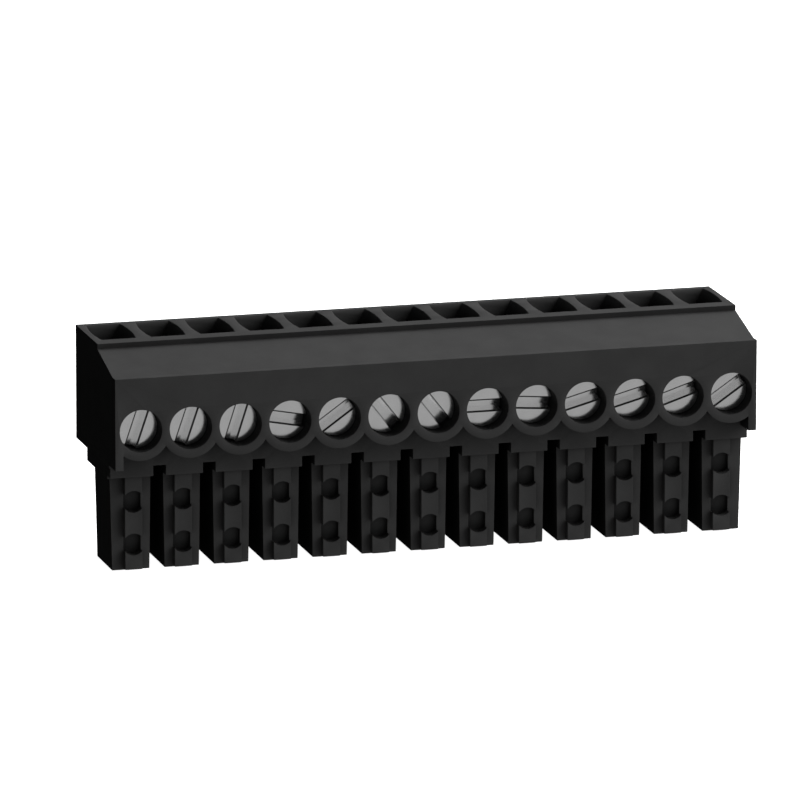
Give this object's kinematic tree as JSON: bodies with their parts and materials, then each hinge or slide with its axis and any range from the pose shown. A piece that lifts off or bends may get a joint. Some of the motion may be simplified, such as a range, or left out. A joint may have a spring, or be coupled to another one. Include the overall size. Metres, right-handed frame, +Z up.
{
  "type": "pluggable screw terminal block",
  "caption": "Long black plug for cable ends: wire funnels on top, slotted clamp screws along the front, hollow prongs below that slide over the pins of a board header.",
  "frame": {"origin": "middle of the row and of the body's depth, level with the prong tips", "axes": "+X along the row, +Y from the screw face to the back, +Z up to the wire entries"},
  "size_m": [0.0456, 0.011, 0.0154],
  "materials": {
    "housing_plastic": "black moulded polyamide, fine matt grain",
    "screw_steel": "bright zinc plate, faint turning marks",
    "cage_steel": "nickel plate on folded steel, satin",
    "contact_metal": "tin plate on copper alloy strip"
  },
  "bodies": {
    "housing": {"housing": "housing_plastic", "socket_contact_01": "contact_metal", "socket_contact_02": "contact_metal", "socket_contact_03": "contact_metal", "socket_contact_04": "contact_metal", "socket_contact_05": "contact_metal", "socket_contact_06": "contact_metal", "socket_contact_07": "contact_metal", "socket_contact_08": "contact_metal", "socket_contact_09": "contact_metal", "socket_contact_10": "contact_metal", "socket_contact_11": "contact_metal", "socket_contact_12": "contact_metal", "socket_contact_13": "contact_metal"},
    "screw_01": {"clamp_screw_01": "screw_steel"},
    "cage_01": {"clamp_cage_01": "cage_steel"},
    "screw_02": {"clamp_screw_02": "screw_steel"},
    "cage_02": {"clamp_cage_02": "cage_steel"},
    "screw_03": {"clamp_screw_03": "screw_steel"},
    "cage_03": {"clamp_cage_03": "cage_steel"},
    "screw_04": {"clamp_screw_04": "screw_steel"},
    "cage_04": {"clamp_cage_04": "cage_steel"},
    "screw_05": {"clamp_screw_05": "screw_steel"},
    "cage_05": {"clamp_cage_05": "cage_steel"},
    "screw_06": {"clamp_screw_06": "screw_steel"},
    "cage_06": {"clamp_cage_06": "cage_steel"},
    "screw_07": {"clamp_screw_07": "screw_steel"},
    "cage_07": {"clamp_cage_07": "cage_steel"},
    "screw_08": {"clamp_screw_08": "screw_steel"},
    "cage_08": {"clamp_cage_08": "cage_steel"},
    "screw_09": {"clamp_screw_09": "screw_steel"},
    "cage_09": {"clamp_cage_09": "cage_steel"},
    "screw_10": {"clamp_screw_10": "screw_steel"},
    "cage_10": {"clamp_cage_10": "cage_steel"},
    "screw_11": {"clamp_screw_11": "screw_steel"},
    "cage_11": {"clamp_cage_11": "cage_steel"},
    "screw_12": {"clamp_screw_12": "screw_steel"},
    "cage_12": {"clamp_cage_12": "cage_steel"},
    "screw_13": {"clamp_screw_13": "screw_steel"},
    "cage_13": {"clamp_cage_13": "cage_steel"}
  },
  "joints": [
    {"name": "screw_01_turn", "type": "hinge", "parent": "housing", "child": "screw_01", "pos_m": [-0.021, 0, 0.0103], "axis": [0, 1, 0], "range_deg": [0, 1530]},
    {"name": "cage_01_slide", "type": "slide", "parent": "housing", "child": "cage_01", "axis": [0, -1, 0], "range_m": [0, 0.0017]},
    {"name": "screw_02_turn", "type": "hinge", "parent": "housing", "child": "screw_02", "pos_m": [-0.0175, 0, 0.0103], "axis": [0, 1, 0], "range_deg": [0, 1530]},
    {"name": "cage_02_slide", "type": "slide", "parent": "housing", "child": "cage_02", "axis": [0, -1, 0], "range_m": [0, 0.0017]},
    {"name": "screw_03_turn", "type": "hinge", "parent": "housing", "child": "screw_03", "pos_m": [-0.014, 0, 0.0103], "axis": [0, 1, 0], "range_deg": [0, 1530]},
    {"name": "cage_03_slide", "type": "slide", "parent": "housing", "child": "cage_03", "axis": [0, -1, 0], "range_m": [0, 0.0017]},
    {"name": "screw_04_turn", "type": "hinge", "parent": "housing", "child": "screw_04", "pos_m": [-0.0105, 0, 0.0103], "axis": [0, 1, 0], "range_deg": [0, 1530]},
    {"name": "cage_04_slide", "type": "slide", "parent": "housing", "child": "cage_04", "axis": [0, -1, 0], "range_m": [0, 0.0017]},
    {"name": "screw_05_turn", "type": "hinge", "parent": "housing", "child": "screw_05", "pos_m": [-0.007, 0, 0.0103], "axis": [0, 1, 0], "range_deg": [0, 1530]},
    {"name": "cage_05_slide", "type": "slide", "parent": "housing", "child": "cage_05", "axis": [0, -1, 0], "range_m": [0, 0.0017]},
    {"name": "screw_06_turn", "type": "hinge", "parent": "housing", "child": "screw_06", "pos_m": [-0.0035, 0, 0.0103], "axis": [0, 1, 0], "range_deg": [0, 1530]},
    {"name": "cage_06_slide", "type": "slide", "parent": "housing", "child": "cage_06", "axis": [0, -1, 0], "range_m": [0, 0.0017]},
    {"name": "screw_07_turn", "type": "hinge", "parent": "housing", "child": "screw_07", "pos_m": [0, 0, 0.0103], "axis": [0, 1, 0], "range_deg": [0, 1530]},
    {"name": "cage_07_slide", "type": "slide", "parent": "housing", "child": "cage_07", "axis": [0, -1, 0], "range_m": [0, 0.0017]},
    {"name": "screw_08_turn", "type": "hinge", "parent": "housing", "child": "screw_08", "pos_m": [0.0035, 0, 0.0103], "axis": [0, 1, 0], "range_deg": [0, 1530]},
    {"name": "cage_08_slide", "type": "slide", "parent": "housing", "child": "cage_08", "axis": [0, -1, 0], "range_m": [0, 0.0017]},
    {"name": "screw_09_turn", "type": "hinge", "parent": "housing", "child": "screw_09", "pos_m": [0.007, 0, 0.0103], "axis": [0, 1, 0], "range_deg": [0, 1530]},
    {"name": "cage_09_slide", "type": "slide", "parent": "housing", "child": "cage_09", "axis": [0, -1, 0], "range_m": [0, 0.0017]},
    {"name": "screw_10_turn", "type": "hinge", "parent": "housing", "child": "screw_10", "pos_m": [0.0105, 0, 0.0103], "axis": [0, 1, 0], "range_deg": [0, 1530]},
    {"name": "cage_10_slide", "type": "slide", "parent": "housing", "child": "cage_10", "axis": [0, -1, 0], "range_m": [0, 0.0017]},
    {"name": "screw_11_turn", "type": "hinge", "parent": "housing", "child": "screw_11", "pos_m": [0.014, 0, 0.0103], "axis": [0, 1, 0], "range_deg": [0, 1530]},
    {"name": "cage_11_slide", "type": "slide", "parent": "housing", "child": "cage_11", "axis": [0, -1, 0], "range_m": [0, 0.0017]},
    {"name": "screw_12_turn", "type": "hinge", "parent": "housing", "child": "screw_12", "pos_m": [0.0175, 0, 0.0103], "axis": [0, 1, 0], "range_deg": [0, 1530]},
    {"name": "cage_12_slide", "type": "slide", "parent": "housing", "child": "cage_12", "axis": [0, -1, 0], "range_m": [0, 0.0017]},
    {"name": "screw_13_turn", "type": "hinge", "parent": "housing", "child": "screw_13", "pos_m": [0.021, 0, 0.0103], "axis": [0, 1, 0], "range_deg": [0, 1530]},
    {"name": "cage_13_slide", "type": "slide", "parent": "housing", "child": "cage_13", "axis": [0, -1, 0], "range_m": [0, 0.0017]}
  ],
  "couplings": [
    {"joint": "screw_01_turn", "follows": "cage_01_slide", "rad_per_m": 15708},
    {"joint": "screw_02_turn", "follows": "cage_02_slide", "rad_per_m": 15708},
    {"joint": "screw_03_turn", "follows": "cage_03_slide", "rad_per_m": 15708},
    {"joint": "screw_04_turn", "follows": "cage_04_slide", "rad_per_m": 15708},
    {"joint": "screw_05_turn", "follows": "cage_05_slide", "rad_per_m": 15708},
    {"joint": "screw_06_turn", "follows": "cage_06_slide", "rad_per_m": 15708},
    {"joint": "screw_07_turn", "follows": "cage_07_slide", "rad_per_m": 15708},
    {"joint": "screw_08_turn", "follows": "cage_08_slide", "rad_per_m": 15708},
    {"joint": "screw_09_turn", "follows": "cage_09_slide", "rad_per_m": 15708},
    {"joint": "screw_10_turn", "follows": "cage_10_slide", "rad_per_m": 15708},
    {"joint": "screw_11_turn", "follows": "cage_11_slide", "rad_per_m": 15708},
    {"joint": "screw_12_turn", "follows": "cage_12_slide", "rad_per_m": 15708},
    {"joint": "screw_13_turn", "follows": "cage_13_slide", "rad_per_m": 15708}
  ]
}
